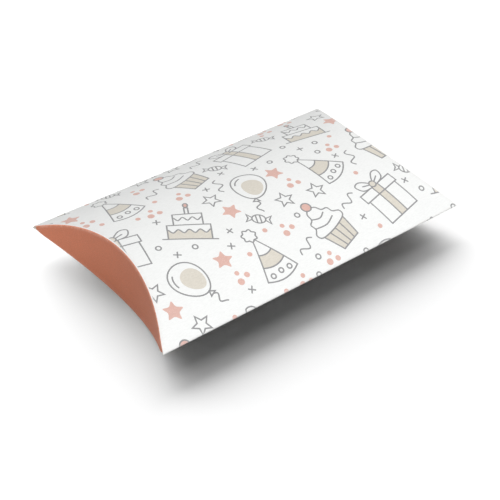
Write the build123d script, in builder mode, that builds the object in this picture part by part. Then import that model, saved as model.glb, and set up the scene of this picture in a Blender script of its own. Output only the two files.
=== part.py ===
import os
from math import asin, atan2, cos, degrees, radians, sqrt

from build123d import *

os.makedirs("parts", exist_ok=True)

# Driving dimensions, in millimetres
box_length = 120.0  # tip to tip of the sleeve, along X
box_width = 71.0  # over the side folds, along Y
box_height = 20.4  # belly to crown, along Z
board = 0.4  # thickness of the card
fold_radius = 0.5  # outside radius of the side folds
flap_gap = 0.2  # clearance between the closed flaps of one end
crease_gap = 0.1  # clearance under the foot of an inner flap
outer_flap_span = 68.5  # across the corners of an outer flap
outer_corner_radius = 0.4
outer_edge_inset = 0.5  # the outer flap's free edge above the belly's outside
inner_flap_span = 58.0  # across the corners of an inner flap
inner_corner_radius = 0.8
swing_clearance = 0.4  # the inner flap's free edge below the top panel as it swings
glue_flap_width = 11.0  # from the back fold, around the card
glue_flap_setback = 4.0  # from the end crease, at both corners of the lap
glue_width = 6.0
glue_film = 0.08
glue_end_margin = 5.0  # bare lap beyond the glue, at each end

# The sleeve is a lens of two equal arcs, rounded off at the side folds
rise = box_height / 2
fold_reach = box_width / 2 - fold_radius
bulge_radius = (fold_reach**2 + rise**2 - fold_radius**2) / (2 * (rise - fold_radius))
centre_drop = bulge_radius - rise
top_centre = (0, rise - centre_drop)
bottom_centre = (0, rise + centre_drop)

# The lap lies inside the bottom panel, so the back fold sits a little higher than the front one
lap_inset = board + glue_film
lap_radius = bulge_radius - lap_inset
front_fold = (-fold_reach, rise)
back_fold_lift = ((bulge_radius - fold_radius) ** 2 - (lap_radius - fold_radius) ** 2) / (4 * centre_drop)
back_fold_reach = sqrt((bulge_radius - fold_radius) ** 2 - (centre_drop + back_fold_lift) ** 2)
back_fold = (back_fold_reach, rise + back_fold_lift)

# Where the arcs of the section run into the folds, in degrees
top_back_angle = degrees(atan2(centre_drop + back_fold_lift, back_fold_reach))
top_front_angle = degrees(atan2(centre_drop, -fold_reach))
bottom_front_angle = 360 - top_front_angle
bottom_back_angle = 270 + degrees(asin(box_width / 2 / bulge_radius))
lap_back_angle = 270 + degrees(atan2(back_fold_reach, centre_drop - back_fold_lift))

# The end creases lie in planes at 45 degrees, so that the folded flaps stand upright
crease_bow = rise
crease_radius = ((box_width / 2) ** 2 + crease_bow**2) / (2 * crease_bow)
crease_centre_x = box_length / 2 - crease_bow + crease_radius


def card_section(centre, radius, thickness, start, end):
    """Face between two arcs about one centre, from one angle to another."""
    with BuildLine() as outline:
        outside = CenterArc(centre, radius, start, end - start)
        inside = CenterArc(centre, radius - thickness, start, end - start)
        Line(outside @ 0, inside @ 0)
        Line(outside @ 1, inside @ 1)
    make_face(outline.edges())


def bulge_height(radius, y):
    """Height of an arc of the sleeve above its middle plane."""
    return sqrt(radius**2 - y**2) - centre_drop


def crease_x(radius, y):
    """Distance of an end arc from the middle of the box."""
    return crease_centre_x - sqrt(radius**2 - y**2)


def trim_ends():
    """Cuts both ends of a panel along the creases."""
    with BuildSketch(Plane.XY) as plan:
        Rectangle(box_length, box_width)
        with Locations((crease_centre_x, 0), (-crease_centre_x, 0)):
            Circle(crease_radius, mode=Mode.SUBTRACT)
    extrude(plan.sketch, amount=box_height, mode=Mode.INTERSECT)


# Upper face of the sleeve, with the upper half of both side folds
with BuildPart() as top_panel:
    with BuildSketch(Plane.YZ):
        card_section(top_centre, bulge_radius, board, top_back_angle, top_front_angle)
        card_section(front_fold, fold_radius, board, top_front_angle, 180)
        card_section(back_fold, fold_radius, board, 0, top_back_angle)
    extrude(amount=box_length / 2, both=True)
    trim_ends()
top_panel.part.label = "top_panel"
export_step(top_panel.part, "parts/top_panel.step")

# Lower face, with the lower half of the front fold and a cut edge at the back
with BuildPart() as bottom_panel:
    with BuildSketch(Plane.YZ):
        card_section(bottom_centre, bulge_radius, board, bottom_front_angle, bottom_back_angle)
        card_section(front_fold, fold_radius, board, 180, bottom_front_angle)
    extrude(amount=box_length / 2, both=True)
    trim_ends()
bottom_panel.part.label = "bottom_panel"
export_step(bottom_panel.part, "parts/bottom_panel.step")

# Lap folded in from the top panel, with slanted ends that keep clear of the end flaps
lap_edge_angle = lap_back_angle - degrees(glue_flap_width / lap_radius)
lap_edge_reach = lap_radius * cos(radians(lap_edge_angle))
lap_fold_end = crease_x(crease_radius, back_fold_reach) - glue_flap_setback
lap_edge_end = crease_x(crease_radius, lap_edge_reach) - glue_flap_setback
with BuildPart() as glue_flap:
    with BuildSketch(Plane.YZ):
        card_section(bottom_centre, lap_radius, board, lap_edge_angle, lap_back_angle)
        card_section(back_fold, fold_radius, board, lap_back_angle - 360, 0)
    extrude(amount=box_length / 2, both=True)
    with BuildSketch(Plane.XY):
        with BuildLine():
            Polyline(
                (-lap_fold_end, box_width / 2),
                (-lap_fold_end, back_fold_reach),
                (-lap_edge_end, lap_edge_reach - board),
                (lap_edge_end, lap_edge_reach - board),
                (lap_fold_end, back_fold_reach),
                (lap_fold_end, box_width / 2),
                close=True,
            )
        make_face()
    extrude(amount=box_height, mode=Mode.INTERSECT)
glue_flap.part.label = "glue_flap"
export_step(glue_flap.part, "parts/glue_flap.step")

# Film of glue along the middle of the lap
glue_middle_angle = (lap_edge_angle + lap_back_angle) / 2
glue_half_angle = degrees(glue_width / 2 / lap_radius)
with BuildPart() as glue_line:
    with BuildSketch(Plane.YZ):
        card_section(
            bottom_centre,
            bulge_radius - board,
            glue_film,
            glue_middle_angle - glue_half_angle,
            glue_middle_angle + glue_half_angle,
        )
    extrude(amount=lap_edge_end - glue_end_margin, both=True)
glue_line.part.label = "glue_line"
export_step(glue_line.part, "parts/glue_line.step")

# An inner flap's free edge is cut so low that it passes under the top panel as the flap swings in
inner_pivot_height = board + crease_gap
inner_edge_middle = box_height - board - swing_clearance
inner_corner_reach = inner_flap_span / 2
inner_corner_out = crease_x(crease_radius, inner_corner_reach) - crease_x(crease_radius + board, 0)
inner_corner_room = rise + bulge_height(bulge_radius - board, inner_corner_reach) - swing_clearance
inner_edge_corner = inner_pivot_height + sqrt((inner_corner_room - inner_pivot_height) ** 2 - inner_corner_out**2)

for end_name, end_side in (("left", -1), ("right", 1)):
    crease_centre = (end_side * crease_centre_x, 0)

    # Outer flap, closed in front of the panel ends
    with BuildPart() as outer_flap:
        with BuildSketch(Plane.YZ) as outer_outline:
            with Locations(top_centre):
                Circle(bulge_radius)
            with Locations(bottom_centre):
                Circle(bulge_radius - outer_edge_inset, mode=Mode.INTERSECT)
            with Locations((0, rise)):
                Rectangle(outer_flap_span, box_height, mode=Mode.INTERSECT)
            fillet(outer_outline.vertices(), outer_corner_radius)
        extrude(amount=end_side * box_length)
        with BuildSketch(Plane.XY):
            with Locations(crease_centre):
                Circle(crease_radius - flap_gap)
                Circle(crease_radius - flap_gap - board, mode=Mode.SUBTRACT)
        extrude(amount=box_height, mode=Mode.INTERSECT)
    outer_flap.part.label = f"{end_name}_outer_flap"
    export_step(outer_flap.part, f"parts/{end_name}_outer_flap.step")

    # Inner flap, standing on the bottom panel just inside its end
    with BuildPart() as inner_flap:
        with BuildSketch(Plane.YZ) as inner_outline:
            with BuildLine():
                free_edge = ThreePointArc(
                    (-inner_corner_reach, inner_edge_corner),
                    (0, inner_edge_middle),
                    (inner_corner_reach, inner_edge_corner),
                )
                Polyline(
                    free_edge @ 1,
                    (inner_corner_reach, 0),
                    (-inner_corner_reach, 0),
                    free_edge @ 0,
                )
            make_face()
            with Locations(bottom_centre):
                Circle(bulge_radius - board - crease_gap, mode=Mode.INTERSECT)
            fillet(inner_outline.vertices(), inner_corner_radius)
        extrude(amount=end_side * box_length)
        with BuildSketch(Plane.XY):
            with Locations(crease_centre):
                Circle(crease_radius + board)
                Circle(crease_radius, mode=Mode.SUBTRACT)
        extrude(amount=box_height, mode=Mode.INTERSECT)
    inner_flap.part.label = f"{end_name}_inner_flap"
    export_step(inner_flap.part, f"parts/{end_name}_inner_flap.step")
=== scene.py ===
import math

import bpy
from mathutils import Matrix, Vector
from mathutils.geometry import delaunay_2d_cdt


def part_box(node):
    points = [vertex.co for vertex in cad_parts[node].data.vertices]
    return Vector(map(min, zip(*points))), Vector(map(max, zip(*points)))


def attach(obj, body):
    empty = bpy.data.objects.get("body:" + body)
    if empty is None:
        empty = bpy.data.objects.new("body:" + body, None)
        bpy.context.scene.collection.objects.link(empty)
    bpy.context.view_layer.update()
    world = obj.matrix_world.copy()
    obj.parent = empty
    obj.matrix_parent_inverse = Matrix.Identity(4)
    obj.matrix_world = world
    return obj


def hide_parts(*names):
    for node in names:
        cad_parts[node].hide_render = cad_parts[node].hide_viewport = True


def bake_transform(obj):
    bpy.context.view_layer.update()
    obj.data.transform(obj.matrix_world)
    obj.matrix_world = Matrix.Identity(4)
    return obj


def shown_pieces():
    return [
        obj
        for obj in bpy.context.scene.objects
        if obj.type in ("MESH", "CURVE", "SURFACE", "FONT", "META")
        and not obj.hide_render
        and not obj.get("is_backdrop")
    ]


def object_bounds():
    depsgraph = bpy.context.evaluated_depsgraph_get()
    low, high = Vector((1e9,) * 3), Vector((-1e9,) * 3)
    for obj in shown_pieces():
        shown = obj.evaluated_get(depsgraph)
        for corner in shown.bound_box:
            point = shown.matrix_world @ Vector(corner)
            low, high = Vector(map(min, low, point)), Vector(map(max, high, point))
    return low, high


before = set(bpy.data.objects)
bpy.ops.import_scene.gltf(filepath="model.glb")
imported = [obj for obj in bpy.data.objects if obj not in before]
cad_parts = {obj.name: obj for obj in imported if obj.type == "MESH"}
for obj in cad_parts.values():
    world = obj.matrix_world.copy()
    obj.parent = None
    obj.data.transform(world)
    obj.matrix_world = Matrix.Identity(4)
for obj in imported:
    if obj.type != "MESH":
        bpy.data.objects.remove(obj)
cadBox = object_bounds()
mm = 0.001

# sizes of the box, read from the frame
topLow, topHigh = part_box("top_panel")
bottomLow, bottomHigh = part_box("bottom_panel")
boxLength = topHigh.x - topLow.x
boxWidth = bottomHigh.y - bottomLow.y
boxHeight = topHigh.z - bottomLow.z

card = {
    "board": 0.4 * mm,  # thickness of the card
    "foldRadius": 0.5 * mm,  # outside of the side folds
    "flapGap": 0.2 * mm,  # between the closed flaps of one end
    "glueFilm": 0.08 * mm,
}

# the sleeve is a lens of two arcs, rounded off at the side folds
rise = boxHeight / 2
foldReach = boxWidth / 2 - card["foldRadius"]
bulgeRadius = (foldReach**2 + rise**2 - card["foldRadius"] ** 2) / (2 * (rise - card["foldRadius"]))
centreDrop = bulgeRadius - rise

# the back fold sits a little higher, because the lap lies inside the bottom panel
lapInset = card["board"] + card["glueFilm"]
foldCircle = bulgeRadius - card["foldRadius"]
backLift = (foldCircle**2 - (foldCircle - lapInset) ** 2) / (4 * centreDrop)
backReach = math.sqrt(foldCircle**2 - (centreDrop + backLift) ** 2)

# the end creases are arcs in plan, with their middles outside the box
creaseBow = rise
creaseRadius = ((boxWidth / 2) ** 2 + creaseBow**2) / (2 * creaseBow)
creaseCentre = boxLength / 2 - creaseBow + creaseRadius
print(f"box {boxLength / mm:.1f} x {boxWidth / mm:.1f} x {boxHeight / mm:.1f} mm")


def smoothShare(value):
    share = min(max(value, 0.0), 1.0)
    return share * share * (3 - 2 * share)


def bulge(y, inset=0.0):  # height of the lens above its middle plane
    return math.sqrt((bulgeRadius - inset) ** 2 - y**2) - centreDrop


def endReach(y, outward=0.0):  # distance of an end arc from the middle of the box
    return creaseCentre - math.sqrt((creaseRadius - outward) ** 2 - y**2)


# each section is a chain of arcs from the front fold to the back, with centre, radius and both angles
frontAngle = math.atan2(centreDrop, -foldReach)
backAngle = math.atan2(centreDrop + backLift, backReach)
cutAngle = 1.5 * math.pi + math.asin(boxWidth / 2 / bulgeRadius)
topSection = (
    ((-foldReach, rise), card["foldRadius"], math.pi, frontAngle),
    ((0.0, rise - centreDrop), bulgeRadius, frontAngle, backAngle),
    ((backReach, rise + backLift), card["foldRadius"], backAngle, 0.0),
)
bottomSection = (
    ((-foldReach, rise), card["foldRadius"], math.pi, 2 * math.pi - frontAngle),
    ((0.0, rise + centreDrop), bulgeRadius, 2 * math.pi - frontAngle, cutAngle),
)
sectionSteps = {"main": 2.0 * mm, "foldParts": 4}  # divisions of the bulge and of each fold
wearReach = 1.2 * mm  # how far folded and cut edges are rubbed
wearLines = (0.4 * mm, wearReach)


def arcLength(arc):
    _, radius, start, stop = arc
    return radius * abs(stop - start)


def sectionStations(section):  # places along the section where the sheet is divided
    stations = [0.0]
    start = 0.0
    for arc in section:
        reach, radius = arcLength(arc), arc[1]
        parts = sectionSteps["foldParts"]
        if radius == bulgeRadius:
            parts = math.ceil(reach / sectionSteps["main"])
            for inset in wearLines:
                stations += [start + inset, start + reach - inset]
        stations += [start + reach * (i + 1) / parts for i in range(parts)]
        start += reach
    return sorted(stations)


def onSection(section, s):  # point and outward direction, both in y and z
    for arc in section:
        if s <= arcLength(arc) or arc is section[-1]:
            break
        s -= arcLength(arc)
    centre, radius, start, stop = arc
    angle = start + (stop - start) * s / arcLength(arc)
    out = (math.cos(angle), math.sin(angle))
    return centre[0] + radius * out[0], centre[1] + radius * out[1], out[0], out[1]


# finishes, all from nodes
paper = {
    "fibre": {"Scale": 2600.0, "Detail": 5.0, "Roughness": 0.6},  # scales are in marks to the metre
    "cloud": {"Scale": 70.0, "Detail": 3.0, "Roughness": 0.55},
    "speck": {"Scale": 3400.0, "Detail": 2.0, "Roughness": 0.55},
    "scuff": {"Scale": 900.0, "Detail": 4.0, "Roughness": 0.7},
    "fibreSpan": (0.32, 0.58),  # noise values between which a mark comes and goes
    "cloudSpan": (0.3, 0.7),
    "speckSpan": (0.58, 0.74),
    "scuffSpan": (0.38, 0.62),
    "scuffLeast": 0.15,  # share of the wear that stays between scuffs
    "fibreStretch": (0.3, 1.0, 1.0),  # the grain runs along the box
    "fibreTint": 0.16,  # how much darker the gaps between fibres are, at full grain
    "fibreRelief": 0.03 * mm,
    "roughRange": 0.06,
    "fuzzRoughness": 0.6,
}


def screenColour(red, green, blue):  # screen values to the linear ones of a socket
    linear = []
    for value in (red, green, blue):
        share = value / 255
        linear.append(share / 12.92 if share <= 0.04045 else ((share + 0.055) / 1.055) ** 2.4)
    return (*linear, 1.0)


def darker(colour, share):
    return (*[v * (1 - share) for v in colour[:3]], 1.0)


def addNode(tree, kind, inputs=None, **settings):
    node = tree.nodes.new(kind)
    for name, value in settings.items():
        setattr(node, name, value)
    for name, value in (inputs or {}).items():
        if isinstance(value, bpy.types.NodeSocket):
            tree.links.new(value, node.inputs[name])
        else:
            node.inputs[name].default_value = value
    return node


def noise(tree, vector, kind):
    return addNode(tree, "ShaderNodeTexNoise", {"Vector": vector, **paper[kind]}).outputs["Fac"]


def spread(tree, value, span, low, high):  # a span of values, stretched so that it runs from low to high
    values = {"Value": value, "From Min": span[0], "From Max": span[1], "To Min": low, "To Max": high}
    return addNode(tree, "ShaderNodeMapRange", values).outputs["Result"]


def mixColours(tree, share, first, second):  # by number, since sockets of other kinds have the same names
    node = addNode(tree, "ShaderNodeMix", {0: share, 6: first, 7: second}, data_type="RGBA")
    return node.outputs[2]


def cardFinish(name, look):
    material = bpy.data.materials.new(name)
    material.use_nodes = True
    tree = material.node_tree
    shader = tree.nodes["Principled BSDF"]
    place = addNode(tree, "ShaderNodeTexCoord").outputs["Object"]
    grainPlace = addNode(tree, "ShaderNodeMapping", {"Vector": place, "Scale": paper["fibreStretch"]})
    fibres = noise(tree, grainPlace.outputs["Vector"], "fibre")
    clouds = noise(tree, place, "cloud")
    specks = noise(tree, place, "speck")
    scuffs = noise(tree, place, "scuff")

    # uneven tone, then the grain, then fine specks, then the edges that have been folded or cut
    cloudShare = spread(tree, clouds, paper["cloudSpan"], 0.0, 1.0)
    tone = mixColours(tree, cloudShare, darker(look["colour"], look["mottle"]), look["colour"])
    gapShare = spread(tree, fibres, paper["fibreSpan"], look["grain"], 0.0)
    grained = mixColours(tree, gapShare, tone, darker(look["colour"], paper["fibreTint"]))
    speckShare = spread(tree, specks, paper["speckSpan"], 0.0, look["speckle"])
    specked = mixColours(tree, speckShare, grained, look["speckColour"])
    worn = addNode(tree, "ShaderNodeAttribute", attribute_name="wear").outputs["Fac"]
    patchy = spread(tree, scuffs, paper["scuffSpan"], paper["scuffLeast"], 1.0)
    rubbed = addNode(tree, "ShaderNodeMath", {0: worn, 1: patchy}, operation="MULTIPLY").outputs[0]
    rubbedShare = spread(tree, rubbed, (0.0, 1.0), 0.0, look["rub"])
    colour = mixColours(tree, rubbedShare, specked, look["rubColour"])
    tree.links.new(colour, shader.inputs["Base Color"])

    smoothest, roughest = (look["roughness"] + way * paper["roughRange"] for way in (-1, 1))
    rough = spread(tree, fibres, paper["cloudSpan"], smoothest, roughest)
    tree.links.new(rough, shader.inputs["Roughness"])
    bump = {"Height": fibres, "Strength": look["relief"], "Distance": paper["fibreRelief"]}
    relief = addNode(tree, "ShaderNodeBump", bump)
    tree.links.new(relief.outputs["Normal"], shader.inputs["Normal"])
    shader.inputs["Specular IOR Level"].default_value = look["gloss"]
    shader.inputs["Sheen Weight"].default_value = look["fuzz"]
    shader.inputs["Sheen Roughness"].default_value = paper["fuzzRoughness"]
    return material


whiteCard = screenColour(244, 245, 244)
anyInk = {
    "rub": 0.4, "rubColour": whiteCard,
    "roughness": 0.5, "relief": 0.30, "gloss": 0.35, "fuzz": 0.0,
}
finishes = {
    "coatedCard": {
        "colour": whiteCard, "mottle": 0.025, "grain": 0.35,
        "speckle": 0.35, "speckColour": screenColour(224, 224, 221),
        "rub": 0.35, "rubColour": screenColour(222, 219, 213),
        "roughness": 0.58, "relief": 0.30, "gloss": 0.25, "fuzz": 0.0,
    },
    "lineInk": {
        "colour": screenColour(148, 148, 149), "mottle": 0.10, "grain": 0.8,
        "speckle": 0.65, "speckColour": screenColour(196, 196, 196), **anyInk,
    },
    "taupeInk": {
        "colour": screenColour(221, 215, 203), "mottle": 0.05, "grain": 0.6,
        "speckle": 0.7, "speckColour": screenColour(237, 234, 228), **anyInk,
    },
    "coralInk": {
        "colour": screenColour(224, 183, 172), "mottle": 0.06, "grain": 0.6,
        "speckle": 0.7, "speckColour": screenColour(240, 216, 209), **anyInk,
    },
    "coralCard": {
        "colour": screenColour(215, 130, 98), "mottle": 0.07, "grain": 0.9,
        "speckle": 0.45, "speckColour": screenColour(232, 166, 140),
        "rub": 0.30, "rubColour": screenColour(240, 205, 190),
        "roughness": 0.55, "relief": 0.35, "gloss": 0.30, "fuzz": 0.0,
    },
    "plainBoard": {
        "colour": screenColour(232, 228, 219), "mottle": 0.05, "grain": 0.8,
        "speckle": 0.5, "speckColour": screenColour(205, 197, 182),
        "rub": 0.2, "rubColour": screenColour(214, 208, 196),
        "roughness": 0.75, "relief": 0.5, "gloss": 0.2, "fuzz": 0.1,
    },
}
materials = {name: cardFinish(name, look) for name, look in finishes.items()}
materialOrder = list(finishes)
print(f"finishes: {', '.join(materialOrder)}")


# the print is drawn in millimetres as outlines, open lines and solid patches
pen = {
    "line": 0.48,  # width
    "capParts": 5,  # points round the end of a line
    "capTurn": 120.0,
    "mitre": 0.45,  # keeps sharp corners from running out too far
    "least": 1e-6,  # shorter runs have no direction
}


def ovalPath(centre, radii, count, start=0.0, turn=360.0):
    points = []
    whole = abs(turn) >= 360
    for i in range(count):
        angle = math.radians(start + turn * i / (count if whole else count - 1))
        points.append((centre[0] + radii[0] * math.cos(angle), centre[1] + radii[1] * math.sin(angle)))
    return points


def circlePath(centre, radius, count):
    return ovalPath(centre, (radius, radius), count)


def smoothPath(points, closed, steps=5):  # a rounded line through a few points
    path = []
    count = len(points)
    for i in range(count if closed else count - 1):
        near = []
        for k in (-1, 0, 1, 2):
            near.append(points[(i + k) % count] if closed else points[min(max(i + k, 0), count - 1)])
        for j in range(steps):
            t = j / steps
            weights = (  # of the four points about this stretch, in an even cubic curve
                -0.5 * t + t * t - 0.5 * t**3,
                1 - 2.5 * t * t + 1.5 * t**3,
                0.5 * t + 2 * t * t - 1.5 * t**3,
                -0.5 * t * t + 0.5 * t**3,
            )
            path.append(tuple(sum(w * p[axis] for w, p in zip(weights, near)) for axis in (0, 1)))
    if not closed:
        path.append(points[-1])
    return path


def offsetPath(path, distance, closed):  # the path moved sideways, with its corners mitred
    moved = []
    count = len(path)
    for i, point in enumerate(path):
        before = path[i - 1] if closed or i else path[i]
        after = path[(i + 1) % count] if closed or i < count - 1 else path[i]
        sides = []
        for a, b in ((before, point), (point, after)):
            run = Vector((b[0] - a[0], b[1] - a[1]))
            if run.length > pen["least"]:
                sides.append(Vector((run.y, -run.x)) / run.length)
        side = (sides[0] + sides[-1]).normalized()
        reach = distance / max(side.dot(sides[0]), pen["mitre"])
        moved.append((point[0] + side.x * reach, point[1] + side.y * reach))
    return moved


def windsLeft(path):
    return sum(a[0] * b[1] - b[0] * a[1] for a, b in zip(path, path[1:] + path[:1])) > 0


def outlined(path, fill):
    if not windsLeft(path):
        path = path[::-1]
    half = pen["line"] / 2
    return [(offsetPath(path, half, True), "lineInk"), (offsetPath(path, -half, True), fill)]


def drawn(path):  # a line with rounded ends
    half = pen["line"] / 2
    first = Vector(path[0]) - Vector(path[1])
    last = Vector(path[-1]) - Vector(path[-2])
    caps = []
    for end, way in ((path[-1], last), (path[0], first)):
        start = math.degrees(math.atan2(way.y, way.x)) - pen["capTurn"] / 2
        caps.append(ovalPath(end, (half, half), pen["capParts"], start, pen["capTurn"]))
    right = offsetPath(path, half, False)
    left = offsetPath(path, -half, False)
    return [(right + caps[0] + left[::-1] + caps[1], "lineInk")]


def blockPath(left, low, right, high):
    return [(left, low), (right, low), (right, high), (left, high)]


balloon = {
    "wide": 11.4,
    "tall": 13.4,
    "bodyParts": 36,
    "egg": 0.16,  # how much wider it is at the top
    "lift": 2.9,
    "patch": 0.62,  # size of the filled patch, as a share of the body
    "patchAside": 0.9,
    "shineAt": (-0.4, 0.6),
    "shineRadii": (4.0, 4.6),
    "shineParts": 8,
    "shineStart": 115.0,
    "shineTurn": 55.0,
    "knot": 1.4,
    "knotHalf": 0.8,  # half its width, as a share of its height
    "string": 4.8,
    "stringParts": 14,
    "sway": 0.9,
    "halfWaves": 2.4,
}


def balloonShapes():
    half, middle = balloon["tall"] / 2, balloon["lift"]
    low = middle - half
    body = []
    for x, y in circlePath((0, 0), 1, balloon["bodyParts"]):
        body.append((balloon["wide"] / 2 * x * (1 + balloon["egg"] * y), half * y + middle))
    size, aside = balloon["patch"], balloon["patchAside"]
    patch = [(size * x + aside, size * (y - middle) + middle - aside) for x, y in body]
    shineAt = (balloon["shineAt"][0], middle + balloon["shineAt"][1])
    shineLook = (balloon[key] for key in ("shineRadii", "shineParts", "shineStart", "shineTurn"))
    shine = ovalPath(shineAt, *shineLook)
    knotHalf, knotLow = balloon["knotHalf"] * balloon["knot"], low - balloon["knot"]
    knot = [(0, low), (-knotHalf, knotLow), (knotHalf, knotLow)]
    string = []
    for i in range(balloon["stringParts"] + 1):
        t = i / balloon["stringParts"]
        x = balloon["sway"] * math.sin(balloon["halfWaves"] * math.pi * t)
        string.append((x, knotLow - balloon["string"] * t))
    shapes = outlined(body, "coatedCard") + [(patch, "taupeInk")] + drawn(shine)
    return shapes + drawn(string) + outlined(knot, "coatedCard")


hat = {
    "wide": 12.5,
    "tall": 15.0,
    "low": -8.6,
    "sag": 1.7,  # how far lines across the cone bow down
    "lineParts": 8,
    "band": (0.42, 0.70),  # as shares of the way down
    "dots": ((-3.3, 0.88), (0.2, 0.86), (3.5, 0.88)),  # place across, and share of the way down
    "dotDrop": 1.0,
    "dotRadius": 0.8,
    "dotParts": 12,
    "pompom": 2.3,
    "pompomLift": 1.0,
    "tufts": 7,
    "tuftDepth": 0.13,
    "tuftParts": 6,
}


def hatLine(share):  # a curved line across the cone, some share of the way down
    half = hat["wide"] / 2 * share
    level = hat["low"] + hat["tall"] * (1 - share)
    line = []
    for i in range(hat["lineParts"] + 1):
        t = 2 * i / hat["lineParts"] - 1
        line.append((half * t, level - hat["sag"] * share * (1 - t * t)))
    return line


def hatShapes():
    top = hat["low"] + hat["tall"]
    bandHigh, bandLow = (hatLine(share) for share in hat["band"])
    shapes = outlined([(0, top)] + hatLine(1.0), "coatedCard")
    shapes += outlined(bandHigh + bandLow[::-1], "taupeInk")
    for x, share in hat["dots"]:
        spot = (x, top - hat["tall"] * share - hat["dotDrop"])
        shapes += outlined(circlePath(spot, hat["dotRadius"], hat["dotParts"]), "coatedCard")
    tuft = []
    count = hat["tuftParts"] * hat["tufts"]
    for i in range(count):
        angle = 2 * math.pi * i / count
        reach = hat["pompom"] * (1 + hat["tuftDepth"] * math.cos(hat["tufts"] * angle))
        tuft.append((reach * math.cos(angle), reach * math.sin(angle) + top + hat["pompomLift"]))
    return shapes + outlined(tuft, "coatedCard")


gift = {
    "wide": 14.0,
    "tall": 10.0,
    "low": -8.6,
    "lid": 3.4,
    "lip": 0.9,
    "ribbon": 3.0,
    "bow": 6.0,
    "bowLoop": ((0, 0.07), (0.55, 0.68), (1, 0.62), (0.86, 0.16), (0.4, 0)),  # as shares of the bow
    "bowFold": ((0.25, 0.2), (0.62, 0.36)),
    "knot": (1.3, 1.2),
    "knotLift": 0.8,
    "knotParts": 16,
}


def giftShapes():
    half, low = gift["wide"] / 2, gift["low"]
    lidLow = low + gift["tall"]
    lidHigh = lidLow + gift["lid"]
    strip, bow = gift["ribbon"] / 2, gift["bow"]
    shapes = []
    for reach, bottom, top in ((half, low, lidLow), (half + gift["lip"], lidLow, lidHigh)):
        shapes += outlined(blockPath(-reach, bottom, reach, top), "coatedCard")
        shapes += outlined(blockPath(-strip, bottom, strip, top), "taupeInk")
    for side in (-1, 1):
        loop = [(side * bow * x, lidHigh + bow * y) for x, y in gift["bowLoop"]]
        fold = [(side * bow * x, lidHigh + bow * y) for x, y in gift["bowFold"]]
        shapes += outlined(smoothPath(loop, True), "coatedCard") + drawn(fold)
    knot = ovalPath((0, lidHigh + gift["knotLift"]), gift["knot"], gift["knotParts"])
    return shapes + outlined(knot, "taupeInk")


cupcake = {
    "top": 11.4,
    "foot": 8.0,
    "deep": 7.4,
    "low": -9.6,
    "pleats": 4,
    "pleatGap": 0.3,
    "swirlSide": ((6.2, 0.0), (6.9, 1.9), (5.1, 3.4), (4.9, 5.5), (3.0, 6.4), (2.2, 8.6)),  # from the rim
    "swirlTop": 9.7,
    "swirlFoot": (2.1, -0.7),
    "swirlParts": 4,
    "folds": (((-4.9, 3.5), (3.4, 2.4)), ((-3.0, 6.5), (2.4, 5.4))),
    "foldSag": 0.5,
    "cherry": 1.7,
    "cherryAt": (0.3, 10.6),
    "cherryParts": 20,
}


def cupcakeShapes():
    half, foot, low = cupcake["top"] / 2, cupcake["foot"] / 2, cupcake["low"]
    rim = low + cupcake["deep"]
    shapes = outlined([(-half, rim), (-foot, low), (foot, low), (half, rim)], "taupeInk")
    for i in range(1, cupcake["pleats"]):
        t = 2 * i / cupcake["pleats"] - 1
        shapes += drawn([(half * t, rim), (foot * t, low + cupcake["pleatGap"])])
    side = list(cupcake["swirlSide"])
    footX, footY = cupcake["swirlFoot"]
    swirl = [(-x, y) for x, y in side] + [(0.0, cupcake["swirlTop"])] + side[::-1]
    swirl += [(footX, footY), (-footX, footY)]
    swirlPath = smoothPath([(x, y + rim) for x, y in swirl], True, cupcake["swirlParts"])
    shapes += outlined(swirlPath, "coatedCard")
    for left, right in cupcake["folds"]:
        middle = ((left[0] + right[0]) / 2, min(left[1], right[1]) - cupcake["foldSag"])
        shapes += drawn(smoothPath([(x, y + rim) for x, y in (left, middle, right)], False))
    cherryAt = (cupcake["cherryAt"][0], rim + cupcake["cherryAt"][1])
    return shapes + outlined(circlePath(cherryAt, cupcake["cherry"], cupcake["cherryParts"]), "coralInk")


cake = {
    "low": -8.8,
    "tiers": (  # width, height, drips of icing and fill
        (13.6, 6.4, 4, "taupeInk"),
        (9.2, 5.4, 3, "coatedCard"),
    ),
    "icing": 0.55,  # share of a tier's height that stays clear of icing
    "drip": 0.75,
    "dripParts": 8,
    "plate": 17.0,
    "candle": (1.2, 3.2),  # width and height
    "flame": (0.75, 1.15),  # half of each
    "flameGap": 0.3,
    "flameParts": 14,
}


def cakeShapes():
    level = cake["low"]
    shapes = []
    for wide, tall, drips, fill in cake["tiers"]:
        half, top = wide / 2, level + tall
        shapes += outlined(blockPath(-half, level, half, top), fill)
        count = cake["dripParts"] * drips
        wave = []
        for i in range(count + 1):
            sway = cake["drip"] * math.cos(2 * math.pi * drips * i / count)
            wave.append((half * (2 * i / count - 1), level + cake["icing"] * tall + sway))
        shapes += outlined([(half, top), (-half, top)] + wave, "coatedCard")
        level = top
    stick, flame = cake["candle"], cake["flame"]
    shapes += outlined(blockPath(-stick[0] / 2, level, stick[0] / 2, level + stick[1]), "coatedCard")
    flameAt = (0, level + stick[1] + flame[1] + cake["flameGap"])
    shapes += outlined(ovalPath(flameAt, flame, cake["flameParts"]), "coralInk")
    return shapes + drawn([(-cake["plate"] / 2, cake["low"]), (cake["plate"] / 2, cake["low"])])


star = {
    "points": 5,
    "line": (3.2, 0.46),  # reach, and waist as a share of it
    "coral": (3.3, 0.56),
    "coralParts": 4,
}


def starPath(reach, waist):
    path = []
    for i in range(2 * star["points"]):
        angle = math.pi / 2 + math.pi * i / star["points"]
        radius = reach * waist if i % 2 else reach
        path.append((radius * math.cos(angle), radius * math.sin(angle)))
    return path


def lineStarShapes():
    return outlined(starPath(*star["line"]), "coatedCard")


def coralStarShapes():
    return [(smoothPath(starPath(*star["coral"]), True, star["coralParts"]), "coralInk")]


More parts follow.
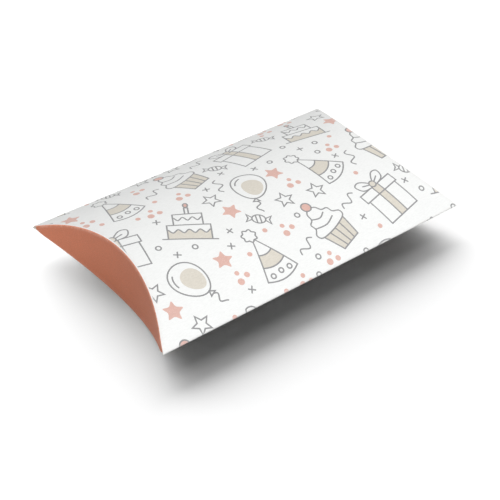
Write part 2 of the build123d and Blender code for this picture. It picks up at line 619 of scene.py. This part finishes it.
confetti = {"dots": ((-1.3, 0.9, 1.15), (1.7, 1.3, 0.8), (0.7, -1.7, 0.95)), "dotParts": 16}  # x, y, radius


def confettiShapes():
    return [(circlePath((x, y), r, confetti["dotParts"]), "coralInk") for x, y, r in confetti["dots"]]


sweet = {
    "body": (2.2, 1.75),
    "bodyParts": 24,
    "wing": ((1.5, 0.0), (4.0, 1.6), (3.4, 0.0), (4.0, -1.6)),
    "stripes": (-0.75, 0.6),
    "stripeHalf": (0.3, 1.4),  # lean and height
}


def sweetShapes():
    shapes = []
    for side in (-1, 1):
        shapes += outlined([(side * x, y) for x, y in sweet["wing"]], "coatedCard")
    shapes += outlined(ovalPath((0, 0), sweet["body"], sweet["bodyParts"]), "coatedCard")
    lean, tall = sweet["stripeHalf"]
    for x in sweet["stripes"]:
        shapes += drawn([(x - lean, tall), (x + lean, -tall)])
    return shapes


streamer = {"long": 7.6, "sway": 1.2, "halfWaves": 3, "parts": 24}


def streamerShapes():
    path = []
    for i in range(streamer["parts"] + 1):
        turn = streamer["halfWaves"] * math.pi * i / streamer["parts"]
        path.append((streamer["long"] * (i / streamer["parts"] - 0.5), streamer["sway"] * math.sin(turn)))
    return drawn(path)


filler = {"dotRadius": 0.85, "dotParts": 14, "crossHalf": 1.1}


def ringShapes():
    return outlined(circlePath((0, 0), filler["dotRadius"], filler["dotParts"]), "coatedCard")


def coralDotShapes():
    return [(circlePath((0, 0), filler["dotRadius"], filler["dotParts"]), "coralInk")]


def crossShapes():
    half = filler["crossHalf"]
    return drawn([(-half, 0), (half, 0)]) + drawn([(0, -half), (0, half)])


printPlan = {
    "pitch": (25.5, 23.0),  # between large motifs, along the blank and round it
    "columns": 3,  # to each side of the middle one
    "rows": (-5, 2),  # first and last, with 0 across the middle of the top panel
    "large": (balloonShapes, giftShapes, hatShapes, cakeShapes, cupcakeShapes),
    "tilts": (-21, 13, 28, -12, 6, -30, 20),
    "small": (coralStarShapes, sweetShapes, confettiShapes, lineStarShapes, streamerShapes),
    "smallSpots": ((0.47, 0.16), (0.54, -0.18), (0.25, 0.5), (0.75, 0.5)),  # in pitches from a large motif
    "smallTilts": (18, -35, 52, -8, 75, -60, 30),
    "nudge": 1.3,  # step by which a small motif moves aside to find room
    "nudgeRings": 2,
    "nudgeSpots": 8,
    "filler": (ringShapes, coralDotShapes, crossShapes),
    "fillerStep": (6.6, 5.2),
    "fillerTurn": (17, 31),  # more tilt from one to the next, along the blank and round it
    "clear": 0.9,  # least gap between motifs
    "fillRings": 5,  # rings that fill a motif's outline when its room is marked
}


def placed(shapes, where, tilt):
    c, s = math.cos(math.radians(tilt)), math.sin(math.radians(tilt))
    turned = []
    for path, ink in shapes:
        turned.append(([(where[0] + c * x - s * y, where[1] + s * x + c * y) for x, y in path], ink))
    return turned


def footprint(shapes, where):  # the small squares of the sheet that a motif covers
    size, rings = printPlan["clear"], printPlan["fillRings"]
    covered = set()
    for path, _ in shapes:
        for a, b in zip(path, path[1:] + path[:1]):
            parts = math.ceil(math.dist(a, b) / size) or 1
            for i in range(parts):
                x = a[0] + (b[0] - a[0]) * i / parts - where[0]
                y = a[1] + (b[1] - a[1]) * i / parts - where[1]
                for share in (ring / rings for ring in range(1, rings + 1)):
                    spot = (where[0] + share * x, where[1] + share * y)
                    covered.add((round(spot[0] / size), round(spot[1] / size)))
    return covered


def drawSheet(middle):  # the motifs of the whole blank, along it and round it from the front fold
    stepX, stepV = printPlan["pitch"]
    drawing = []
    taken = set()

    def add(motif, where, tilt, always=False):
        shapes = placed(motif(), where, tilt)
        covered = footprint(shapes, where)
        fits = always or covered.isdisjoint(taken)
        if fits:
            drawing.extend(shapes)
            taken.update((i + a, j + b) for i, j in covered for a in (-1, 0, 1) for b in (-1, 0, 1))
        return fits

    nudges = [(0.0, 0.0)]
    for ring in range(1, printPlan["nudgeRings"] + 1):
        nudges += circlePath((0, 0), ring * printPlan["nudge"], printPlan["nudgeSpots"])

    # large motifs in staggered rows, so that no neighbour is the same
    spots = []
    for row in range(printPlan["rows"][0], printPlan["rows"][1] + 1):
        for column in range(-printPlan["columns"], printPlan["columns"] + 1):
            pick = 2 * column + row
            where = (stepX * (column + row % 2 / 2), middle + stepV * row)
            spots.append((where, pick))
            motif = printPlan["large"][pick % len(printPlan["large"])]
            add(motif, where, printPlan["tilts"][pick % len(printPlan["tilts"])], True)

    # small ones between them
    for k, (alongShare, roundShare) in enumerate(printPlan["smallSpots"]):
        for where, pick in spots:
            turn = pick + 2 * k
            motif = printPlan["small"][turn % len(printPlan["small"])]
            tilt = printPlan["smallTilts"][turn % len(printPlan["smallTilts"])]
            for aside in nudges:
                spot = (where[0] + alongShare * stepX + aside[0], where[1] + roundShare * stepV + aside[1])
                if add(motif, spot, tilt):
                    break

    # dots and crosses in what room is left
    fillX, fillV = printPlan["fillerStep"]
    turnX, turnV = printPlan["fillerTurn"]
    low, high = spots[0][0], spots[-1][0]
    for j in range(int((high[1] - low[1]) / fillV)):
        for i in range(int((high[0] - low[0]) / fillX)):
            motif = printPlan["filler"][(i + 2 * j) % len(printPlan["filler"])]
            add(motif, (low[0] + fillX * (i + j % 2 / 2), low[1] + fillV * j), turnX * i + turnV * j)
    return drawing


sheetPrint = drawSheet(sum(arcLength(arc) for arc in topSection) / 2 / mm)
print(f"print: {len(sheetPrint)} shapes")


def panelPrint(way, reach):  # the shapes that fall on one panel, measured from the front fold
    onPanel = []
    for path, ink in sheetPrint:
        turned = [(x, way * v) for x, v in path]
        if max(s for _, s in turned) > 0 and min(s for _, s in turned) < reach:
            onPanel.append((turned, ink))
    return onPanel


# the rounded lips where the panels turn into the end flaps
lip = {
    "fade": 2.5 * mm,  # height of the lens over which the lip dies out towards the tips
    "least": 0.03 * mm,  # radius that is left at the tips
    "leastInside": 0.01 * mm,
    "bottomRadius": 0.5 * mm,
    "setBack": 0.06 * mm,  # keeps the top panel's tips within the length of the box
    "parts": 5,
}


def lipShare(y):
    return smoothShare(max(bulge(y), 0.0) / lip["fade"])


def topLip(y):  # outside and inside radius of the lip, and how far the sheet stops short of the end arc
    outside = endReach(y, card["flapGap"] + card["board"]) - endReach(y)
    inside = endReach(y, card["flapGap"]) - endReach(y)
    return lip["least"] + outside * lipShare(y), lip["leastInside"] + inside * lipShare(y), lip["setBack"]


def bottomLip(y):
    outside = lip["least"] + lip["bottomRadius"] * lipShare(y)
    inside = lip["leastInside"] + (lip["bottomRadius"] - card["board"]) * lipShare(y)
    return outside, inside, outside


def addObject(name, data):
    made = bpy.data.objects.new(name, data)
    bpy.context.scene.collection.objects.link(made)
    return made


sharpFold = math.radians(40)  # flap edges that turn more than this stay sharp


class SheetMesh:  # gathers points and faces with their inks and directions
    def __init__(self):
        self.points, self.wear = [], []
        self.faces, self.inks, self.normals = [], [], []

    def point(self, place, wear):
        self.points.append(place)
        self.wear.append(wear)
        return len(self.points) - 1

    def face(self, corners, ink, directions=None):
        if directions is None:
            a, b, c = (self.points[i] for i in corners[:3])
            directions = [(b - a).cross(c - a).normalized()] * len(corners)
        self.faces.append(corners)
        self.inks.append(materialOrder.index(ink))
        self.normals += directions

    def build(self, name, setNormals):
        mesh = bpy.data.meshes.new(name)
        mesh.from_pydata(self.points, [], self.faces)
        for key in materialOrder:
            mesh.materials.append(materials[key])
        mesh.polygons.foreach_set("material_index", self.inks)
        mesh.attributes.new("wear", "FLOAT", "POINT").data.foreach_set("value", self.wear)
        mesh.shade_smooth()
        if setNormals:
            mesh.normals_split_custom_set(self.normals)
        else:
            mesh.set_sharp_from_angle(angle=sharpFold)
        return addObject(name, mesh)


def edgeWear(distance):
    return smoothShare(1 - distance / wearReach) ** 2


nearly = 2e-3  # points of the flat sheet that lie closer than this, in millimetres, become one
insideOnly = 1  # the division leaves out what lies outside all outlines


def sheetOutline(section, stations, lipOf):  # up the right end of the flat sheet, then down the left end
    right = []
    for s in stations:
        y = onSection(section, s)[0]
        right.append(((endReach(y) - lipOf(y)[2]) / mm, s / mm))
    return right + [(-x, s) for x, s in reversed(right)]


def stationCuts(outline):  # lines across the sheet, between points of its outline
    last = len(outline) - 1
    return [(last - i, i) for i in range(1, last // 2)]


def divideSheet(outline, drawing):  # cuts the flat sheet along its stations, wear lines and print
    right = outline[: len(outline) // 2]
    points = list(outline)
    cuts = stationCuts(outline)
    for inset in wearLines:
        for side in (-1, 1):
            start = len(points)
            points += [(side * (x - inset / mm), s) for x, s in right]
            cuts += [(start + i, start + i + 1) for i in range(len(right) - 1)]
    loops = [list(range(len(outline)))]
    for path, _ in drawing:
        loops.append(list(range(len(points), len(points) + len(path))))
        points += path if windsLeft(path) else path[::-1]
    flat = delaunay_2d_cdt([Vector(p) for p in points], cuts, loops, insideOnly, nearly)
    places, _, triangles, sources, _, covers = flat

    # the motif drawn last over a place gives its ink, and crossings that came out twice become one
    first = {}
    same = [first.setdefault((round(x / nearly), round(s / nearly)), i) for i, (x, s) in enumerate(places)]
    cells = []
    for corners, over in zip(triangles, covers):
        cell = [same[i] for i in corners]
        if 0 in over and len(set(cell)) == 3:
            cells.append((cell, drawing[max(over) - 1][1] if max(over) else "coatedCard"))
    made = {source: same[i] for i, merged in enumerate(sources) for source in merged}
    return places, cells, [made[i] for i in range(len(outline))]


def rimChains(cells, corners):  # the rim of the divided sheet, from each corner to the next
    runs = {(a, b) for cell, _ in cells for a, b in zip(cell, cell[1:] + cell[:1])}
    after = {a: b for a, b in runs if (b, a) not in runs}
    chains = []
    for start, stop in zip(corners, corners[1:] + corners[:1]):
        chain = [start]
        while chain[-1] != stop:
            chain.append(after[chain[-1]])
        chains.append(chain)
    return chains


def addLip(sheet, joined, side, up, lipOf):  # a quarter turn along one end of a panel
    outer, inner, turns = [], [], []
    quarter = [math.pi / 2 * part / lip["parts"] for part in range(lip["parts"] + 1)]
    for y, outward, outerStart, innerStart in joined:
        outside, inside, _ = lipOf(y)
        slope = y / creaseRadius
        ahead = Vector((side * math.sqrt(1 - slope**2), -slope, 0))
        for rows, start, radius, wear in (
            (outer, outerStart, outside, 1.0),
            (inner, innerStart, inside, 0.0),
        ):
            column = [start]
            for angle in quarter[1:]:
                bend = Vector((side * math.sin(angle), 0, -up * (1 - math.cos(angle))))
                column.append(sheet.point(sheet.points[start] + radius * bend, wear))
            rows.append(column)
        turns.append([(outward * math.cos(a) + ahead * math.sin(a)).normalized() for a in quarter])

    # both faces, then the end that meets the flap
    for k in range(len(joined) - 1):
        for part in range(lip["parts"]):
            ink = "coatedCard" if part < lip["parts"] // 2 else "coralCard"
            spots = [(k, part), (k, part + 1), (k + 1, part + 1), (k + 1, part)]
            sheet.face([outer[c][r] for c, r in spots], ink, [turns[c][r] for c, r in spots])
            spots.reverse()
            sheet.face([inner[c][r] for c, r in spots], "plainBoard", [-turns[c][r] for c, r in spots])
        sheet.face([outer[k + 1][-1], outer[k][-1], inner[k][-1], inner[k + 1][-1]], "plainBoard")

    # cut edges at both tips
    for k, flip in ((0, False), (len(joined) - 1, True)):
        near, far = outer[k], inner[k]
        for part in range(lip["parts"]):
            corners = [near[part], far[part], far[part + 1], near[part + 1]]
            sheet.face(corners[::-1] if flip else corners, "plainBoard")


def buildPanel(name, section, lipOf, up):
    stations = sectionStations(section)
    outline = sheetOutline(section, stations, lipOf)
    places, cells, made = divideSheet(outline, panelPrint(up, stations[-1] / mm))
    sheet = SheetMesh()
    across, outward, outer, inner = {}, {}, {}, {}
    for i in sorted({i for corners, _ in cells for i in corners}):
        x, s = places[i] * mm
        y, z, ny, nz = onSection(section, s)
        toEnd = endReach(y) - lipOf(y)[2] - abs(x)
        toFold = min(s, stations[-1] - s)
        across[i] = y
        outward[i] = Vector((0, ny, nz))
        outer[i] = sheet.point(Vector((x, y, z)), edgeWear(min(toEnd, toFold)))

    # printed face
    for corners, ink in cells:
        turned = corners if up > 0 else corners[::-1]
        sheet.face([outer[i] for i in turned], ink, [outward[i] for i in turned])

    # inner face, divided along the stations alone
    half = len(outline) // 2
    chains = rimChains(cells, [made[0], made[half - 1], made[half], made[-1]])
    loop = [i for chain in chains for i in chain[:-1]]
    for i in loop:
        inner[i] = sheet.point(sheet.points[outer[i]] - card["board"] * outward[i], sheet.wear[outer[i]])
    spot = {i: k for k, i in enumerate(loop)}
    cuts = [(spot[made[a]], spot[made[b]]) for a, b in stationCuts(outline)]
    flat = delaunay_2d_cdt([places[i] for i in loop], cuts, [list(range(len(loop)))], insideOnly, nearly)
    _, _, triangles, sources, _, _ = flat
    for corners in triangles:
        turned = [loop[sources[k][0]] for k in corners]
        if up > 0:
            turned.reverse()
        sheet.face([inner[i] for i in turned], "plainBoard", [-outward[i] for i in turned])

    # edges along the folds, then a rounded lip at each end
    rightEnd, highSide, leftEnd, lowSide = chains
    for chain in (highSide, lowSide):
        for a, b in zip(chain, chain[1:]):
            corners = [outer[b], outer[a], inner[a], inner[b]]
            sheet.face(corners if up > 0 else corners[::-1], "plainBoard")
    for side, chain in ((1, rightEnd), (-1, leftEnd)):
        joined = [(across[i], outward[i], outer[i], inner[i]) for i in chain]
        addLip(sheet, joined if up > 0 else joined[::-1], side, up, lipOf)
    return sheet.build(name, True)


topPanel = buildPanel("topPanel", topSection, topLip, 1)
bottomPanel = buildPanel("bottomPanel", bottomSection, bottomLip, -1)
for piece, node in ((topPanel, "top_panel"), (bottomPanel, "bottom_panel")):
    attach(piece, "sleeve")
    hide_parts(node)
    print(f"{piece.name}: {len(piece.data.polygons)} faces")


# the end flaps hang from the panels by a narrow crease band, kept as a piece of its own
flap = {
    "band": 1.2 * mm,  # depth of the crease band
    "columnStep": 1.5 * mm,
    "cornerParts": 5,
    "bandRows": 3,
    "flapRows": 12,
    "least": 0.05 * mm,  # shorter columns are left to the band
    "outerSpan": 68.5 * mm,
    "outerCorner": 0.4 * mm,
    "outerInset": 0.5 * mm,  # free edge above the belly's outside
    "innerSpan": 58.0 * mm,
    "innerCorner": 0.8 * mm,
    "innerClearance": 0.4 * mm,  # free edge below the top panel as it swings
    "turnLevel": 0.6,  # share of the turn at the middle of the crease
    "turnOut": -0.05 / mm,  # change of that share outward along the crease
    "turnDown": 0.02 / mm,  # and down the flap
}
topPivot = Vector((endReach(0), 0, boxHeight))
footPivot = Vector((endReach(0), 0, lip["bottomRadius"]))


def cornerCut(y, reach, radius):  # what a rounded corner takes off at one place across
    over = max(abs(y) - (reach - radius), 0.0)
    return radius - math.sqrt(max(radius**2 - over**2, 0.0))


def outerLimits(y):  # outer face, top and free edge of an outer flap at one place across
    outside, _, setBack = topLip(y)
    rounding = cornerCut(y, flap["outerSpan"] / 2, flap["outerCorner"])
    high = rise + bulge(y) - outside - rounding
    low = rise - bulge(y, flap["outerInset"]) + rounding
    return endReach(y) - setBack + outside, high, low


# the inner flap's free edge is an arc, low enough to pass under the top panel
innerMiddle = boxHeight - card["board"] - flap["innerClearance"]
cornerOut = endReach(flap["innerSpan"] / 2) - endReach(0, -card["board"])
cornerRoom = rise + bulge(flap["innerSpan"] / 2, card["board"]) - flap["innerClearance"] - footPivot.z
innerCornerHeight = footPivot.z + math.sqrt(cornerRoom**2 - cornerOut**2)
innerSag = innerMiddle - innerCornerHeight
innerEdgeRadius = ((flap["innerSpan"] / 2) ** 2 + innerSag**2) / (2 * innerSag)


def innerLimits(y):  # the same for an inner flap, which stands on its foot
    edge = innerMiddle - innerEdgeRadius + math.sqrt(innerEdgeRadius**2 - y**2)
    rounding = cornerCut(y, flap["innerSpan"] / 2, flap["innerCorner"])
    return endReach(y), rise - bulge(y) + bottomLip(y)[0], edge - rounding


def flapColumns(span, corner):
    flatReach = span / 2 - corner
    count = math.ceil(2 * flatReach / flap["columnStep"])
    columns = [flatReach * (2 * i / count - 1) for i in range(count + 1)]
    turns = [math.pi / 2 * (i + 1) / flap["cornerParts"] for i in range(flap["cornerParts"])]
    rounded = [flatReach + corner * math.sin(turn) for turn in turns]
    return [-y for y in reversed(rounded)] + columns + rounded


def flapGrids(columns, limits, down, pivot):  # outer faces of band and flap, from crease to free edge
    grids = {"band": [], "flap": []}
    for y in columns:
        x, crease, free = limits(y)
        seam = pivot.z - down * (x - pivot.x + flap["band"])
        if down * (seam - free) < 0:
            seam = free
        for key, first, last, rows in (
            ("band", crease, seam, flap["bandRows"]),
            ("flap", seam, free, flap["flapRows"]),
        ):
            grids[key].append([Vector((x, y, first + (last - first) * r / rows)) for r in range(rows + 1)])
    return grids


def buildFlap(name, grid, side, down, worn, rimFinish):
    sheet = SheetMesh()
    index = []
    for column in grid:
        rubbed = [edgeWear(abs(p.z - column[worn].z)) for p in column]
        index.append([sheet.point(Vector((side * p.x, p.y, p.z)), wear) for p, wear in zip(column, rubbed)])
    for near, far in zip(index, index[1:]):
        for r in range(len(near) - 1):
            corners = [near[r], near[r + 1], far[r + 1], far[r]]
            sheet.face(corners if side * down > 0 else corners[::-1], "coralCard")
    piece = sheet.build(name, False)

    # the board gets its thickness from a modifier, on top of any bend in the sheet, so that it stays even
    uses = [0] * len(piece.data.edges)
    for loop in piece.data.loops:
        uses[loop.edge_index] += 1
    for edge in piece.data.edges:
        edge.use_edge_sharp = uses[edge.index] == 1
    thicken = piece.modifiers.new("board", "SOLIDIFY")
    thicken.thickness = card["board"]
    thicken.offset = -1
    coral = materialOrder.index("coralCard")
    thicken.material_offset = materialOrder.index("plainBoard") - coral
    thicken.material_offset_rim = materialOrder.index(rimFinish) - coral
    piece.visible_diffuse = False  # the coral leaves the floor's shadow grey
    return piece


for endName, side in (("left", -1), ("right", 1)):
    for kind, limits, down, pivot, span, corner in (
        ("outer", outerLimits, 1, topPivot, flap["outerSpan"], flap["outerCorner"]),
        ("inner", innerLimits, -1, footPivot, flap["innerSpan"], flap["innerCorner"]),
    ):
        grids = flapGrids(flapColumns(span, corner), limits, down, pivot)
        lower = [column for column in grids["flap"] if abs(column[0].z - column[-1].z) > flap["least"]]
        band = buildFlap(f"{endName}{kind.title()}Crease", grids["band"], side, down, 0, "coralCard")
        sheet = buildFlap(f"{endName}{kind.title()}Flap", lower, side, down, -1, "plainBoard")
        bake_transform(band)
        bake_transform(sheet)
        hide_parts(f"{endName}_{kind}_flap")
    print(f"{endName} flaps done")


# the lap and its glue keep their solids
glueLook = {
    "colour": screenColour(226, 217, 190), "mottle": 0.10, "grain": 0.2,
    "speckle": 0.3, "speckColour": screenColour(238, 232, 214),
    "rub": 0.1, "rubColour": screenColour(214, 204, 176),
    "roughness": 0.35, "relief": 0.2, "gloss": 0.5, "fuzz": 0.0,
}
materials["driedGlue"] = cardFinish("driedGlue", glueLook)
for node, finish in (("glue_flap", "coatedCard"), ("glue_line", "driedGlue")):
    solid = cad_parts[node]
    solid.data.materials.clear()
    solid.data.materials.append(materials[finish])


# pale floor and world, which show as white and give less light back to the box
studio = {
    "floorSize": 3.0,
    "floorDrop": 0.02 * mm,
    "floorWhite": 0.96,
    "floorBounce": 0.35,
    "white": 1.0,
    "ambient": 0.09,
}


def mixSeen(tree, outputKind, unseen, seen):  # the second shader is for the camera and for reflections
    path = addNode(tree, "ShaderNodeLightPath").outputs
    share = path["Is Camera Ray"]
    for ray in ("Is Glossy Ray", "Is Transmission Ray"):
        share = addNode(tree, "ShaderNodeMath", {0: share, 1: path[ray]}, operation="MAXIMUM").outputs[0]
    mix = addNode(tree, "ShaderNodeMixShader", {0: share, 1: unseen.outputs[0], 2: seen.outputs[0]})
    addNode(tree, outputKind, {"Surface": mix.outputs[0]})


def buildFloor():
    half = studio["floorSize"] / 2
    level = cadBox[0].z - studio["floorDrop"]
    mesh = bpy.data.meshes.new("floor")
    mesh.from_pydata([(x, y, level) for x, y in blockPath(-half, -half, half, half)], [], [(0, 1, 2, 3)])
    material = bpy.data.materials.new("paleFloor")
    material.use_nodes = True
    tree = material.node_tree
    tree.nodes.clear()
    shaders = []
    for key in ("floorBounce", "floorWhite"):
        grey = studio[key]
        shaders.append(addNode(tree, "ShaderNodeBsdfDiffuse", {"Color": (grey, grey, grey, 1)}))
    mixSeen(tree, "ShaderNodeOutputMaterial", *shaders)
    mesh.materials.append(material)
    floor = addObject("floor", mesh)
    floor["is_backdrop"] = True
    return floor


def buildWorld():
    world = bpy.data.worlds.new("studio")
    world.use_nodes = True
    tree = world.node_tree
    tree.nodes.clear()
    shaders = []
    for key in ("ambient", "white"):
        look = {"Color": (1, 1, 1, 1), "Strength": studio[key]}
        shaders.append(addNode(tree, "ShaderNodeBackground", look))
    mixSeen(tree, "ShaderNodeOutputWorld", *shaders)
    bpy.context.scene.world = world


# lamps, each for the floor or for the box alone; azimuths start at the back and run to the right
lamps = {
    "floorLowLight": {"azimuth": 17.0, "elevation": 19.0, "soft": 82.0, "level": 0.67, "lights": "floor"},
    "floorHighLight": {"azimuth": 5.0, "elevation": 46.0, "soft": 108.0, "level": 0.37, "lights": "floor"},
    "keyLight": {"azimuth": 211.0, "elevation": 57.0, "soft": 60.0, "level": 0.70, "lights": "box"},
    "domeLight": {"azimuth": 0.0, "elevation": 90.0, "soft": 170.0, "level": 0.21, "lights": "box"},
}


def addLamp(name, look, receivers):
    a, e = math.radians(look["azimuth"]), math.radians(look["elevation"])
    data = bpy.data.lights.new(name, "SUN")
    data.energy = look["level"] * math.pi / math.sin(e)  # so that the level is the light on a flat floor
    data.angle = math.radians(look["soft"])
    lamp = addObject(name, data)
    toLamp = Vector((math.sin(a) * math.cos(e), math.cos(a) * math.cos(e), math.sin(e)))
    lamp.rotation_euler = toLamp.to_track_quat("Z", "Y").to_euler()
    group = bpy.data.collections.new(f"{name}Receivers")
    for piece in receivers:
        group.objects.link(piece)
    lamp.light_linking.receiver_collection = group


floor = buildFloor()
buildWorld()
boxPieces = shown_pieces()
for name, look in lamps.items():
    addLamp(name, look, [floor] if look["lights"] == "floor" else boxPieces)
print(f"studio ready, {len(boxPieces)} pieces lit")

# camera at the photograph's angle
shot = {
    "azimuth": -41.019,
    "elevation": 39.668,
    "roll": 3.559,
    "distance": 396.98 * mm,
    "target": (0.969 * mm, 0.0, -4.744 * mm),
    "lens": 85.647,
    "sensor": 36.0,
    "nearest": 10 * mm,
}


def buildCamera():
    a, e, r = (math.radians(shot[key]) for key in ("azimuth", "elevation", "roll"))
    back = Vector((math.sin(a) * math.cos(e), -math.cos(a) * math.cos(e), math.sin(e)))
    level = Vector((0, 0, 1)).cross(back).normalized()
    upright = back.cross(level)
    across = level * math.cos(r) + upright * math.sin(r)
    above = upright * math.cos(r) - level * math.sin(r)
    data = bpy.data.cameras.new("camera")
    data.lens = shot["lens"]
    data.sensor_width = shot["sensor"]
    data.clip_start = shot["nearest"]
    camera = addObject("camera", data)
    turn = Matrix((across, above, back)).transposed().to_4x4()
    camera.matrix_world = Matrix.Translation(Vector(shot["target"]) + back * shot["distance"]) @ turn
    bpy.context.scene.camera = camera


buildCamera()
bpy.context.scene.view_settings.view_transform = "Standard"
